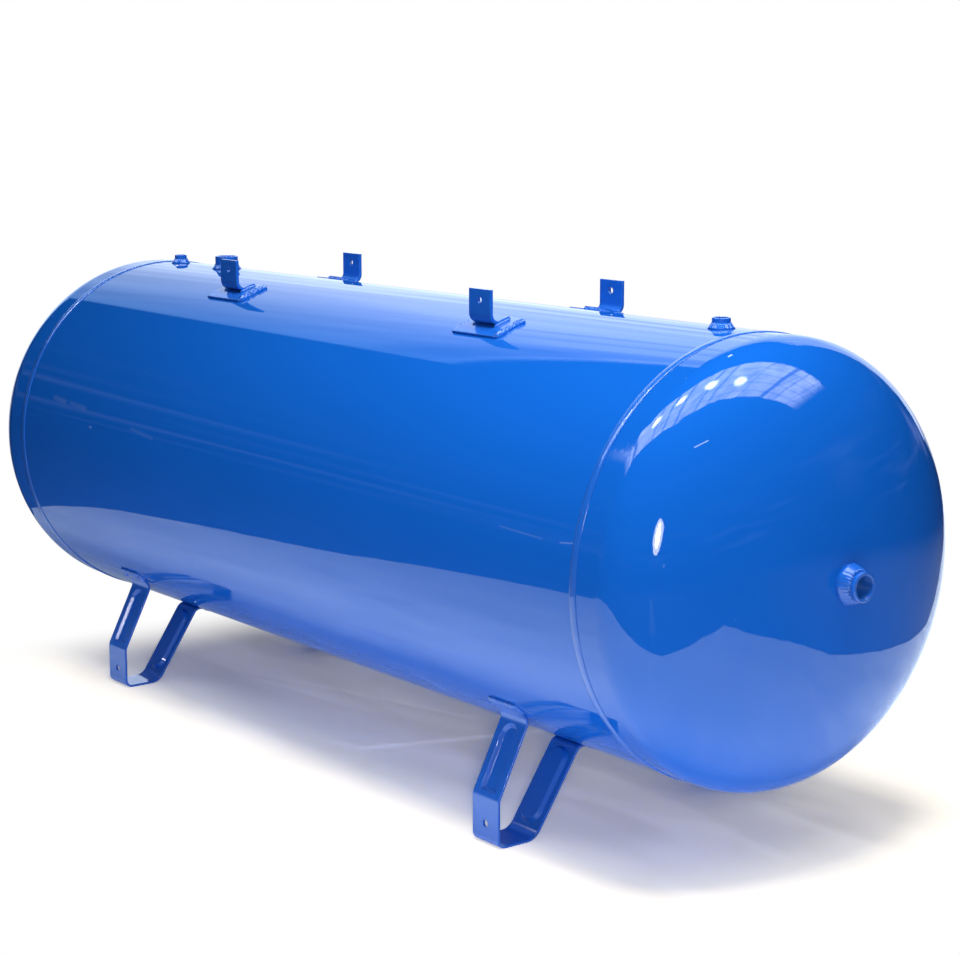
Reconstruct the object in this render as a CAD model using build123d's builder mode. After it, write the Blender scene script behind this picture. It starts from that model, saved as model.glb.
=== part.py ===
from build123d import *
from math import asin, cos, degrees, radians, sin, sqrt, tan
import os

# Horizontal air receiver: a rolled shell with two dished ends, four leg loops of bent strip,
# four lugs on top, and welded screwed sockets.
# Lengths in millimetres, angles in degrees. +X runs along the tank to the near end, -Y is the
# front, +Z is up, and the origin is on the floor under the middle of the shell.

# Vessel
tank_diameter = 500.0
shell_length = 1250.0
shell_wall = 3.0
head_wall = 3.0
head_flange = 35.0
head_depth = 117.0
ground_clearance = 89.5

# Weld beads of the vessel
girth_bead_width = 11.0
girth_bead_height = 1.6
seam_bead_width = 8.0
seam_bead_height = 1.4
seam_bead_angle = -118.0

# Screwed sockets: outside, tapped bore and height proud of the plate
small_socket_diameter = 18.0
small_socket_bore = 11.45
small_socket_height = 12.0
medium_socket_diameter = 21.0
medium_socket_bore = 14.95
medium_socket_height = 12.0
large_socket_diameter = 33.0
large_socket_bore = 24.12
large_socket_height = 18.0
pole_socket_height = 20.0
socket_inner_reach = 5.0
socket_edge_chamfer = 0.8
socket_weld_leg = 5.0

# Stations along the shell, each measured inwards from the seam at its end
near_top_socket_from_seam = 48.0
outlet_socket_from_seam = 170.0
far_top_socket_from_seam = 38.0
lug_from_seam = 345.0
near_leg_from_seam = 205.0
far_leg_from_seam = 182.0

# Lugs on top of the shell, each a bent strap on a curved pad, placed by its angle from the top
lug_pad_length = 81.0
lug_pad_width = 48.0
lug_pad_angle = 21.2
lug_pad_thickness = 3.0
lug_width = 40.5
lug_thickness = 4.0
lug_face_from_pad_middle = 13.0
lug_base_length = 31.0
lug_rise_over_shell = 27.5
lug_bend_radius = 8.0
lug_hole_diameter = 8.0
lug_hole_drop = 13.0

# Leg loops, each bent from one strip, with a rib pressed into both sloping runs; each root is
# placed by its angle from the bottom
leg_width = 47.0
leg_thickness = 3.0
leg_face_inset = 46.5
leg_kink_height = 56.5
leg_rung_length = 53.0
leg_outer_root_angle = 38.8
leg_inner_root_angle = 19.51
leg_outer_flange = 28.0
leg_inner_flange = 24.0
leg_kink_radius = 10.0
leg_heel_radius = 8.0
leg_toe_radius = 20.0
leg_root_radius = 14.0
leg_hole_diameter = 9.0
leg_hole_height = 25.5
rib_width = 33.0
rib_depth = 5.0
rib_slope = 32.0
rib_wall = 2.6
outer_rib_start = 9.0
outer_rib_end = 3.0
inner_rib_start = 14.0
inner_rib_end = 11.0

# Fillet welds round the lug pads and the leg flanges
skirt_width = 4.0
skirt_sink = 2.5
skirt_rise = 1.6
skirt_root_gap = 12.0
skirt_slope = 56.0

tank_radius = tank_diameter / 2
axis_height = tank_radius + ground_clearance
seam_x = shell_length / 2
near_leg_x = seam_x - near_leg_from_seam
far_leg_x = far_leg_from_seam - seam_x
lug_x = seam_x - lug_from_seam
lug_top_height = axis_height + tank_radius + lug_rise_over_shell
pole_x = seam_x + head_flange + head_depth
pad_radius = tank_radius + lug_pad_thickness
lug_radius = pad_radius + lug_thickness
lug_face_offset = tank_radius * sin(radians(lug_pad_angle)) + lug_face_from_pad_middle
leg_face_offset = tank_radius - leg_face_inset
tank_axis = Axis((0, 0, axis_height), (1, 0, 0))
front_back = Plane.XZ

os.makedirs("parts", exist_ok=True)


def finish(part, name):
    """Label a finished piece and write its file."""
    part.label = name
    export_step(part, "parts/" + name + ".step")


def tank_arc(radius, start, end):
    """Arc about the tank's axis, with angles from straight up, positive towards the front."""
    return CenterArc((0, axis_height), radius, 90 + start, end - start)


def on_tank(radius, angle):
    """Point of the cross-section about the tank's axis, with the angle as for tank_arc."""
    return (-radius * sin(radians(angle)), axis_height + radius * cos(radians(angle)))


def angle_at(offset, radius):
    """Angle from straight up of the point of a circle that lies an offset from the middle."""
    return degrees(asin(offset / radius))


def arc_angle(length, radius):
    """Angle that an arc of a given length spans."""
    return degrees(length / radius)


def tangent_plane(angle, station):
    """Plane that touches the shell, with x along the tank and z away from it."""
    out = Vector(0, -sin(radians(angle)), cos(radians(angle)))
    touch = Vector(station, 0, axis_height) + out * tank_radius
    return Plane(origin=touch, x_dir=(1, 0, 0), z_dir=out)


def weld_skirt(angle, station, along, around):
    """Sloping block on the shell round a plate of a given size, which then cuts it."""
    spread = 2 * (skirt_width + skirt_sink * tan(radians(skirt_slope)))
    with BuildSketch(tangent_plane(angle, station).offset(-skirt_sink)) as foot:
        Rectangle(along + spread, around + spread)
    extrude(foot.sketch, amount=skirt_sink + skirt_rise, taper=skirt_slope)
    with BuildSketch(Plane.YZ.offset(station - along)) as tank:
        with Locations((0, axis_height)):
            Circle(tank_radius)
    extrude(tank.sketch, amount=2 * along, mode=Mode.SUBTRACT)


def rib_sketch(length, width, square_end):
    """Outline of a pressed rib, round at its start and, where asked, square at its end."""
    SlotOverall(length, width)
    if square_end:
        with Locations((length / 4, 0)):
            Rectangle(length / 2, width)


def press_rib(start, end, station, start_gap, end_gap, square_end):
    """Press a rib into a straight run of the strip, given its two points on the loop's inside."""
    run = Vector(0, end.X - start.X, end.Y - start.Y)
    along = run.normalized()
    inwards = Vector(1, 0, 0).cross(along)
    length = run.length - start_gap - end_gap
    middle = Vector(station, start.X, start.Y) + along * (start_gap + length / 2)
    inside = Plane(origin=middle, x_dir=along, z_dir=inwards)
    with BuildSketch(inside) as ridge:
        rib_sketch(length, rib_width, square_end)
    extrude(ridge.sketch, amount=rib_depth, taper=rib_slope)
    with BuildSketch(inside.offset(-leg_thickness)) as groove:
        rib_sketch(length - 2 * rib_wall, rib_width - 2 * rib_wall, square_end)
    extrude(groove.sketch, amount=rib_depth, taper=rib_slope, mode=Mode.SUBTRACT)


def head_face(radius):
    """Station of the dished end's outer face at a radius from the tank's axis."""
    return seam_x + head_flange + head_depth * sqrt(1 - (radius / tank_radius) ** 2)


# Sockets on the top (+1) and bottom (-1) line of the shell:
# name, station, outside diameter, bore, height and side
shell_sockets = [
    ("near_top_socket", seam_x - near_top_socket_from_seam, medium_socket_diameter,
     medium_socket_bore, medium_socket_height, 1),
    ("outlet_socket", outlet_socket_from_seam - seam_x, large_socket_diameter,
     large_socket_bore, large_socket_height, 1),
    ("far_top_socket", far_top_socket_from_seam - seam_x, small_socket_diameter,
     small_socket_bore, small_socket_height, 1),
    ("drain_socket", 0, small_socket_diameter, small_socket_bore, small_socket_height, -1),
]

# Shell: a tube with a hole for each socket
with BuildPart() as shell:
    with BuildSketch(Plane.YZ.offset(-seam_x)):
        with Locations((0, axis_height)):
            Circle(tank_radius)
            Circle(tank_radius - shell_wall, mode=Mode.SUBTRACT)
    extrude(amount=shell_length)
    for name, station, diameter, bore, height, side in shell_sockets:
        with BuildSketch(Plane.XY.offset(axis_height)):
            with Locations((station, 0)):
                Circle(diameter / 2)
        extrude(amount=side * tank_diameter, mode=Mode.SUBTRACT)
finish(shell.part, "shell")

# Dished ends: a semi-ellipse on a straight flange, bored at the pole for a socket
with BuildPart() as near_head:
    with BuildSketch(Plane.XZ):
        root = (seam_x + head_flange, axis_height)
        with BuildLine():
            outer = EllipticalCenterArc(root, head_depth, tank_radius, 0, arc_size=90)
            inner = EllipticalCenterArc(
                root, head_depth - head_wall, tank_radius - head_wall, 0, arc_size=90)
            Polyline(outer @ 1, (seam_x, axis_height + tank_radius),
                     (seam_x, axis_height + tank_radius - head_wall), inner @ 1)
            Line(outer @ 0, inner @ 0)
        make_face()
    revolve(axis=tank_axis)
    with BuildSketch(Plane.YZ.offset(seam_x)):
        with Locations((0, axis_height)):
            Circle(large_socket_diameter / 2)
    extrude(amount=tank_diameter, mode=Mode.SUBTRACT)
finish(near_head.part, "near_head")

with BuildPart() as far_head:
    mirror(near_head.part, about=Plane.YZ)
finish(far_head.part, "far_head")

# Girth welds: a low crowned bead over each joint of shell and end
with BuildPart() as near_girth_weld:
    with BuildSketch(Plane.XZ):
        with BuildLine():
            foot = axis_height + tank_radius
            half = girth_bead_width / 2
            ThreePointArc((seam_x - half, foot), (seam_x, foot + girth_bead_height),
                          (seam_x + half, foot))
            Line((seam_x + half, foot), (seam_x - half, foot))
        make_face()
    revolve(axis=tank_axis)
finish(near_girth_weld.part, "near_girth_weld")

with BuildPart() as far_girth_weld:
    mirror(near_girth_weld.part, about=Plane.YZ)
finish(far_girth_weld.part, "far_girth_weld")

# Shell seam: the long bead where the rolled plate closes, low on the back
with BuildPart() as shell_seam_weld:
    with BuildSketch(Plane.YZ.offset(-seam_x + girth_bead_width / 2)):
        half_angle = arc_angle(seam_bead_width, tank_radius) / 2
        with BuildLine():
            foot = tank_arc(tank_radius, seam_bead_angle - half_angle, seam_bead_angle + half_angle)
            crown = on_tank(tank_radius + seam_bead_height, seam_bead_angle)
            ThreePointArc(foot @ 0, crown, foot @ 1)
        make_face()
    extrude(amount=shell_length - girth_bead_width)
finish(shell_seam_weld.part, "shell_seam_weld")

# Sockets of the shell, and the fillet weld round the foot of each
for name, station, diameter, bore, height, side in shell_sockets:
    inner_end = tank_radius - shell_wall - socket_inner_reach
    with BuildPart() as socket:
        with BuildSketch(Plane.XY.offset(axis_height + side * inner_end)):
            with Locations((station, 0)):
                Circle(diameter / 2)
                Circle(bore / 2, mode=Mode.SUBTRACT)
        extrude(amount=side * (tank_radius + height - inner_end))
        rim = socket.faces().sort_by(Axis.Z)[-1 if side > 0 else 0]
        chamfer(rim.outer_wire().edges(), socket_edge_chamfer)
    finish(socket.part, name)

    with BuildPart() as socket_weld:
        with BuildSketch(Plane.XZ):
            with BuildLine():
                wall = station + diameter / 2
                foot = axis_height + side * (tank_radius - socket_weld_leg)
                top = axis_height + side * (tank_radius + socket_weld_leg)
                Polyline((wall, foot), (wall + socket_weld_leg, foot),
                         (wall + socket_weld_leg, axis_height + side * tank_radius),
                         (wall, top), close=True)
            make_face()
        revolve(axis=Axis((station, 0, 0), (0, 0, 1)))
        with BuildSketch(Plane.YZ.offset(station - diameter)):
            with Locations((0, axis_height)):
                Circle(tank_radius)
        extrude(amount=2 * diameter, mode=Mode.SUBTRACT)
    finish(socket_weld.part, name + "_weld")

# Socket at the pole of each dished end, and its weld
with BuildPart() as near_head_socket:
    inner_end = pole_x - head_wall - socket_inner_reach
    with BuildSketch(Plane.YZ.offset(inner_end)):
        with Locations((0, axis_height)):
            Circle(large_socket_diameter / 2)
            Circle(large_socket_bore / 2, mode=Mode.SUBTRACT)
    extrude(amount=pole_x + pole_socket_height - inner_end)
    rim = near_head_socket.faces().sort_by(Axis.X)[-1]
    chamfer(rim.outer_wire().edges(), socket_edge_chamfer)
finish(near_head_socket.part, "near_head_socket")

with BuildPart() as far_head_socket:
    mirror(near_head_socket.part, about=Plane.YZ)
finish(far_head_socket.part, "far_head_socket")

with BuildPart() as near_head_socket_weld:
    with BuildSketch(Plane.XZ):
        with BuildLine():
            wall = large_socket_diameter / 2
            toe = wall + socket_weld_leg
            Polyline((head_face(wall) - head_wall / 2, axis_height + wall),
                     (head_face(toe) - head_wall / 2, axis_height + toe),
                     (head_face(toe), axis_height + toe),
                     (head_face(wall) + socket_weld_leg, axis_height + wall), close=True)
        make_face()
    revolve(axis=tank_axis)
    add(near_head.part, mode=Mode.SUBTRACT)
finish(near_head_socket_weld.part, "near_head_socket_weld")

with BuildPart() as far_head_socket_weld:
    mirror(near_head_socket_weld.part, about=Plane.YZ)
finish(far_head_socket_weld.part, "far_head_socket_weld")

# Lugs: a pad rolled to the shell, and on it a strap bent up to a drilled upright tab
for end, station in (("near", lug_x), ("far", -lug_x)):
    pad_half = arc_angle(lug_pad_width, tank_radius) / 2
    with BuildPart() as front_lug_pad:
        with BuildSketch(Plane.YZ.offset(station - lug_pad_length / 2)):
            with BuildLine():
                under = tank_arc(tank_radius, lug_pad_angle - pad_half, lug_pad_angle + pad_half)
                over = tank_arc(pad_radius, lug_pad_angle - pad_half, lug_pad_angle + pad_half)
                Line(under @ 0, over @ 0)
                Line(under @ 1, over @ 1)
            make_face()
        extrude(amount=lug_pad_length)
    finish(front_lug_pad.part, end + "_front_lug_pad")

    with BuildPart() as back_lug_pad:
        mirror(front_lug_pad.part, about=front_back)
    finish(back_lug_pad.part, end + "_back_lug_pad")

    with BuildPart() as front_pad_weld:
        weld_skirt(lug_pad_angle, station, lug_pad_length, lug_pad_width)
        add(front_lug_pad.part, mode=Mode.SUBTRACT)
    finish(front_pad_weld.part, end + "_front_lug_pad_weld")

    with BuildPart() as back_pad_weld:
        mirror(front_pad_weld.part, about=front_back)
    finish(back_pad_weld.part, end + "_back_lug_pad_weld")

    base_start = angle_at(lug_face_offset, pad_radius)
    base_end = base_start - arc_angle(lug_base_length, pad_radius)
    with BuildPart() as front_lug:
        with BuildSketch(Plane.YZ.offset(station - lug_width / 2)):
            with BuildLine() as outline:
                bottom = tank_arc(pad_radius, base_end, base_start)
                inner_offset = lug_face_offset - lug_thickness
                top = tank_arc(lug_radius, base_end, angle_at(inner_offset, lug_radius))
                Line(bottom @ 0, top @ 0)
                Polyline(bottom @ 1, (-lug_face_offset, lug_top_height),
                         (-inner_offset, lug_top_height), top @ 1)
                outer_bend = outline.vertices().sort_by_distance(bottom @ 1)[0]
                fillet(outer_bend, lug_bend_radius + lug_thickness)
                inner_bend = outline.vertices().sort_by_distance(top @ 1)[0]
                fillet(inner_bend, lug_bend_radius)
            make_face()
        extrude(amount=lug_width)
        with BuildSketch(Plane.XZ):
            with Locations((station, lug_top_height - lug_hole_drop)):
                Circle(lug_hole_diameter / 2)
        extrude(amount=tank_radius, mode=Mode.SUBTRACT)
    finish(front_lug.part, end + "_front_lug")

    with BuildPart() as back_lug:
        mirror(front_lug.part, about=front_back)
    finish(back_lug.part, end + "_back_lug")

# Leg loops: the strip lies on the shell, kinks down to an upright foot drilled for a bolt,
# runs along the floor and climbs back to the shell nearer the middle
for end, station in (("near", near_leg_x), ("far", far_leg_x)):
    outer_root = 180 - leg_outer_root_angle
    inner_root = 180 - leg_inner_root_angle
    outer_tip = outer_root - arc_angle(leg_outer_flange, tank_radius)
    inner_tip = inner_root + arc_angle(leg_inner_flange, tank_radius)
    inner_face = -leg_face_offset + leg_thickness
    with BuildPart() as front_leg:
        with BuildSketch(Plane.YZ.offset(station - leg_width / 2)):
            with BuildLine() as strip:
                outer_flange = tank_arc(tank_radius, outer_tip, outer_root)
                inner_flange = tank_arc(tank_radius, inner_root, inner_tip)
                outer_root_point = outer_flange @ 1
                kink = Vector(inner_face, leg_kink_height)
                heel = Vector(inner_face, leg_thickness)
                toe = Vector(-leg_face_offset + leg_rung_length, leg_thickness)
                inner_root_point = inner_flange @ 0
                Polyline(outer_root_point, kink, heel, toe, inner_root_point)
                bends = [(outer_root_point, leg_root_radius), (kink, leg_kink_radius),
                         (heel, leg_heel_radius), (toe, leg_toe_radius),
                         (inner_root_point, leg_root_radius)]
                for corner, radius in bends:
                    fillet(strip.vertices().sort_by_distance(corner)[0], radius)
                offset(amount=leg_thickness, side=Side.RIGHT)
            make_face()
        extrude(amount=leg_width)
        with BuildSketch(Plane.XZ.offset(leg_face_offset - 2 * leg_thickness)):
            with Locations((station, leg_hole_height)):
                Circle(leg_hole_diameter / 2)
        extrude(amount=3 * leg_thickness, mode=Mode.SUBTRACT)
        press_rib(outer_root_point, kink, station, outer_rib_start, outer_rib_end, True)
        press_rib(toe, inner_root_point, station, inner_rib_start, inner_rib_end, False)
    finish(front_leg.part, end + "_front_leg")

    with BuildPart() as back_leg:
        mirror(front_leg.part, about=front_back)
    finish(back_leg.part, end + "_back_leg")

    flanges = [("outer", outer_tip, leg_outer_flange, 1), ("inner", inner_tip, leg_inner_flange, -1)]
    for place, tip, flange, turn in flanges:
        seat = flange - skirt_root_gap
        middle = tip + turn * arc_angle(seat / 2, tank_radius)
        with BuildPart() as front_leg_weld:
            weld_skirt(middle, station, leg_width, seat)
            add(front_leg.part, mode=Mode.SUBTRACT)
        finish(front_leg_weld.part, end + "_front_leg_" + place + "_weld")

        with BuildPart() as back_leg_weld:
            mirror(front_leg_weld.part, about=front_back)
        finish(back_leg_weld.part, end + "_back_leg_" + place + "_weld")
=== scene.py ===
# Horizontal air receiver in gloss blue enamel, standing on a pale sheet in a plain hall.
# Units are metres: +X runs along the tank to the near end, -Y is the front, +Z is up.
from math import asin, atan2, cos, degrees, pi, radians, sin, sqrt

import bmesh
import bpy
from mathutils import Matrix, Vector, noise


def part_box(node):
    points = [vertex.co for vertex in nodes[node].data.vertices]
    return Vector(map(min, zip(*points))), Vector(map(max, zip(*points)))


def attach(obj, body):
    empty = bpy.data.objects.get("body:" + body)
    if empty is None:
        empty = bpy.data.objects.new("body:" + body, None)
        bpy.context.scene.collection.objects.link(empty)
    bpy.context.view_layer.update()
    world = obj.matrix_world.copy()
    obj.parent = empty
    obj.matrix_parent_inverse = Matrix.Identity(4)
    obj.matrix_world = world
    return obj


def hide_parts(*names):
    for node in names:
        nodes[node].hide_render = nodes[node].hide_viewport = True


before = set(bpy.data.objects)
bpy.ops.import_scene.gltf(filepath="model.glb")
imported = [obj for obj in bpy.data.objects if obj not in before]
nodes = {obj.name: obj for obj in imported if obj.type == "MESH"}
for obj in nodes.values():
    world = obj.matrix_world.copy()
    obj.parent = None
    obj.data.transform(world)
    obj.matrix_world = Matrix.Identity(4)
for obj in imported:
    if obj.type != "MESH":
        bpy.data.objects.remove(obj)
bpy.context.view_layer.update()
scene = bpy.context.scene
print("frame loaded:", len(nodes), "nodes")


# Shared helpers
smooth = {"interpolation_type": "SMOOTHSTEP"}  # makes a ramp start and end gently


def hexColor(code):
    channels = [int(code[i:i + 2], 16) / 255 for i in (1, 3, 5)]
    linear = [c / 12.92 if c <= 0.04045 else ((c + 0.055) / 1.055) ** 2.4 for c in channels]
    return (*linear, 1.0)


def addNode(tree, kind, settings, links=(), ramp=()):
    # settings name a property, or an input by its name or number; links give an input its
    # source; a ramp is a MapRange's from and to, then the results there if not 0 and 1
    node = tree.nodes.new("ShaderNode" + kind)
    for key, value in {**settings, **dict(enumerate(ramp, 1))}.items():
        if isinstance(key, str) and hasattr(node, key):
            setattr(node, key, value)
        else:
            node.inputs[key].default_value = value
    for key, source in dict(links).items():
        tree.links.new(source, node.inputs[key])
    return node


def distanceToRun(tree, place, start, end):
    # how far each point of a surface is from the straight run between two points
    run = Vector(end) - Vector(start)
    away = addNode(tree, "VectorMath", {"operation": "SUBTRACT", 1: start}, {0: place}).outputs[0]
    reach = addNode(tree, "VectorMath", {"operation": "DOT_PRODUCT", 1: run.normalized()},
                    {0: away}).outputs["Value"]
    held = addNode(tree, "Clamp", {"Max": run.length}, {"Value": reach}).outputs[0]
    nearest = addNode(tree, "VectorMath", {"operation": "SCALE", 0: run.normalized()},
                      {"Scale": held}).outputs[0]
    return addNode(tree, "VectorMath", {"operation": "DISTANCE"},
                   {0: away, 1: nearest}).outputs["Value"]


def newMaterial(name):
    material = bpy.data.materials.new(name)
    material.use_nodes = True
    material.node_tree.nodes.clear()
    return material, material.node_tree


def dress(piece, *materials):
    piece.data.materials.clear()
    for material in materials:
        piece.data.materials.append(material)


def newObject(name, bm, *materials):
    mesh = bpy.data.meshes.new(name)
    bm.to_mesh(mesh)
    bm.free()
    piece = bpy.data.objects.new(name, mesh)
    scene.collection.objects.link(piece)
    dress(piece, *materials)
    return piece


def addPiece(name, bm, slot, *materials):
    piece = newObject(name, bm, *materials)
    for polygon in piece.data.polygons:
        polygon.use_smooth = True
    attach(piece, "root")
    return piece


# Camera: the photograph's own viewpoint
cameraSettings = {
    "place": (2.3019, -1.6682, 0.8455),
    "pitch": 79.995,
    "heading": 52.25,
    "lens": 82.3,
    "sensor": 36,
}
cameraData = bpy.data.cameras.new("camera")
cameraData.lens = cameraSettings["lens"]
cameraData.sensor_width = cameraSettings["sensor"]
camera = bpy.data.objects.new("camera", cameraData)
camera.location = cameraSettings["place"]
camera.rotation_euler = (radians(cameraSettings["pitch"]), 0, radians(cameraSettings["heading"]))
scene.collection.objects.link(camera)
scene.camera = camera


# Lamps: soft light from overhead, and a small lamp beside the viewer with a soft rim and fill
lampSettings = {
    "overhead": {"place": (0.85, -0.35, 2.05), "aim": (0.2, 0, 0.3), "size": (1.0, 1.0),
                 "power": 40, "color": "#f8faff", "mirrored": False},
    "viewerMiddle": {"place": (2.38, -1.66, 0.89), "aim": (0.3, 0, 0.35), "size": (0.13, 0.40),
                     "power": 10, "color": "#fbfcff", "mirrored": True},
    "viewerRim": {"place": (2.40, -1.67, 0.89), "aim": (0.3, 0, 0.35), "size": (0.34, 0.64),
                  "power": 7, "color": "#fbfcff", "mirrored": True},
    "viewerFill": {"place": (2.40, -1.67, 0.89), "aim": (0.3, 0, 0.35), "size": (0.60, 0.80),
                   "power": 4.5, "color": "#fbfcff", "mirrored": False},
}
for lampName, lamp in lampSettings.items():
    lampData = bpy.data.lights.new(lampName, "AREA")
    lampData.shape = "ELLIPSE"
    lampData.size, lampData.size_y = lamp["size"]
    lampData.energy = lamp["power"]
    lampData.color = hexColor(lamp["color"])[:3]
    lampObject = bpy.data.objects.new(lampName, lampData)
    lampObject.location = lamp["place"]
    aim = Vector(lamp["aim"]) - Vector(lamp["place"])
    lampObject.rotation_euler = aim.to_track_quat("-Z", "Y").to_euler()
    lampObject.visible_camera = False
    lampObject.visible_glossy = lamp["mirrored"]
    scene.collection.objects.link(lampObject)


# World: white behind the object, and a dim hall for the enamel to mirror, with a pale backdrop
# behind the tank, a glazed strip in the roof and a row of lamps under it
hallSettings = {
    "ambient": "#74777b",
    "dim": "#10151f",
    "lowest": 0.02,  # a direction nearer the horizon counts as this high
}
world = bpy.data.worlds.new("hall")
scene.world = world
world.use_nodes = True
hall = world.node_tree
hall.nodes.clear()
look = addNode(hall, "TexCoord", {}).outputs["Generated"]
parts = addNode(hall, "SeparateXYZ", {}, {0: look}).outputs

# Backdrop: a tall pale screen beyond the tank, bluer to the left, with a hem along its top.
# Its places are slopes, sideways and upwards, as seen from the tank's middle
backdropSettings = {
    "facing": (-0.839, 0.545, 0),
    "sideways": (0.545, 0.839, 0),
    "left": (-0.617, -0.593),
    "leftLean": (0.15, -0.11),
    "right": (0.78, 0.74),
    "top": (0.812, 0.788),
    "climbLeft": (-0.2, -1.2, 0, -0.25),
    "climbRight": (0.3, 0.7, 0, -0.28),
    "hem": (0.710, 0.745, 1.0, 0.60),
    "hemLine": (0.778, 0.790, 0, 0.35),
    "hemStart": (-0.66, -0.52),
    "foldScale": 2.4,
    "folds": (0.36, 0.64, 0.74, 1.06),
    "pleatScale": (1.6, 26.0, 1.0),
    "pleatTurn": (0, 0, 0.12),
    "pleats": (0.36, 0.54),
    "pleatShade": (-0.40, 0.05, 0.90, 0.68),
    "farColor": "#88b3e0",
    "nearColor": "#d7e8ff",
    "colorTurn": (-0.60, -0.10),
    "strength": 2.1,
}
ahead = addNode(hall, "VectorMath", {"operation": "DOT_PRODUCT",
                                     1: backdropSettings["facing"]}, {0: look}).outputs["Value"]
aside = addNode(hall, "VectorMath", {"operation": "DOT_PRODUCT",
                                     1: backdropSettings["sideways"]}, {0: look}).outputs["Value"]
depth = addNode(hall, "Math", {"operation": "MAXIMUM", 1: hallSettings["lowest"]},
                {0: ahead}).outputs[0]
dropRise = addNode(hall, "Math", {"operation": "DIVIDE"}, {0: parts["Z"], 1: depth}).outputs[0]
dropSide = addNode(hall, "Math", {"operation": "DIVIDE"}, {0: aside, 1: depth}).outputs[0]
leanBy, leanFrom = backdropSettings["leftLean"]
lean = addNode(hall, "Math", {"operation": "MULTIPLY_ADD", 1: leanBy, 2: leanFrom},
               {0: dropRise}).outputs[0]
leanSide = addNode(hall, "Math", {"operation": "ADD"}, {0: lean, 1: dropSide}).outputs[0]
leftEdge = addNode(hall, "MapRange", smooth, {0: leanSide}, backdropSettings["left"]).outputs[0]
rightEdge = addNode(hall, "MapRange", smooth, {0: dropSide}, backdropSettings["right"]).outputs[0]
toTop = dropRise
for climb in ("climbLeft", "climbRight"):
    climbed = addNode(hall, "MapRange", {}, {0: dropSide}, backdropSettings[climb]).outputs[0]
    toTop = addNode(hall, "Math", {"operation": "ADD"}, {0: toTop, 1: climbed}).outputs[0]
topEdge = addNode(hall, "MapRange", smooth, {0: toTop}, backdropSettings["top"]).outputs[0]
hem = addNode(hall, "MapRange", {}, {0: toTop}, backdropSettings["hem"]).outputs[0]
hemLine = addNode(hall, "MapRange", {}, {0: toTop}, backdropSettings["hemLine"]).outputs[0]
hem = addNode(hall, "Math", {"operation": "ADD"}, {0: hem, 1: hemLine}).outputs[0]
hemmed = addNode(hall, "MapRange", {}, {0: dropSide}, backdropSettings["hemStart"]).outputs[0]
hem = addNode(hall, "Mix", {2: 1.0}, {0: hemmed, 3: hem}).outputs[0]
dropPlace = addNode(hall, "CombineXYZ", {}, {0: dropSide, 1: dropRise}).outputs[0]
clouds = addNode(hall, "TexNoise", {"Scale": backdropSettings["foldScale"], "Detail": 2.0,
                                    "Distortion": 1.0}, {"Vector": dropPlace}).outputs[0]
folds = addNode(hall, "MapRange", {}, {0: clouds}, backdropSettings["folds"]).outputs[0]
pleated = addNode(hall, "Mapping", {"Scale": backdropSettings["pleatScale"],
                                    "Rotation": backdropSettings["pleatTurn"]},
                  {"Vector": dropPlace}).outputs[0]
pleats = addNode(hall, "TexNoise", {"Scale": 1.0, "Detail": 2.0}, {"Vector": pleated}).outputs[0]
pleatShade = addNode(hall, "MapRange", {}, {0: dropSide},
                     backdropSettings["pleatShade"]).outputs[0]
pleatShade = addNode(hall, "MapRange", {}, {0: pleats, 3: pleatShade},
                     backdropSettings["pleats"]).outputs[0]
backdropGlow = folds
for mask in (pleatShade, leftEdge, rightEdge, topEdge, hem):
    backdropGlow = addNode(hall, "Math", {"operation": "MULTIPLY"},
                           {0: backdropGlow, 1: mask}).outputs[0]
backdropGlow = addNode(hall, "Math", {"operation": "MULTIPLY", 1: backdropSettings["strength"]},
                       {0: backdropGlow}).outputs[0]
colorTurn = addNode(hall, "MapRange", {}, {0: dropSide}, backdropSettings["colorTurn"]).outputs[0]
dropTint = addNode(hall, "Mix", {"data_type": "RGBA", 6: hexColor(backdropSettings["farColor"]),
                                 7: hexColor(backdropSettings["nearColor"])},
                   {0: colorTurn}).outputs[2]

# Gleams: far windows and lamps low in the hall, blurred into short level streaks, and a few
# round glows, each with its direction, spread and strength
gleamSettings = {
    "color": "#9aa4d8",
    "scale": (2.2, 2.2, 26.0),
    "streaks": (0.52, 0.72, 0, 0.55),
    "low": (0.42, 0.16),
    "glows": [((0.659, 0.732, 0.174), 0.16, 0.30), ((-0.14, 0.985, 0.10), 0.10, 0.85),
              ((-0.23, 0.97, 0.03), 0.08, 0.7)],
}
level = addNode(hall, "Mapping", {"Scale": gleamSettings["scale"]}, {"Vector": look}).outputs[0]
gleams = addNode(hall, "TexNoise", {"Scale": 1.0, "Detail": 3.0}, {"Vector": level}).outputs[0]
streaks = addNode(hall, "MapRange", {}, {0: gleams}, gleamSettings["streaks"]).outputs[0]
gleamLow = addNode(hall, "MapRange", {}, {0: parts["Z"]}, gleamSettings["low"]).outputs[0]
gleamGlow = addNode(hall, "Math", {"operation": "MULTIPLY"}, {0: streaks, 1: gleamLow}).outputs[0]
for toGlow, spread, strength in gleamSettings["glows"]:
    aimed = addNode(hall, "VectorMath", {"operation": "DISTANCE", 1: toGlow}, {0: look})
    glow = addNode(hall, "MapRange", smooth, {0: aimed.outputs["Value"]},
                   (spread, 0, 0, strength)).outputs[0]
    gleamGlow = addNode(hall, "Math", {"operation": "ADD"}, {0: gleamGlow, 1: glow}).outputs[0]

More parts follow.
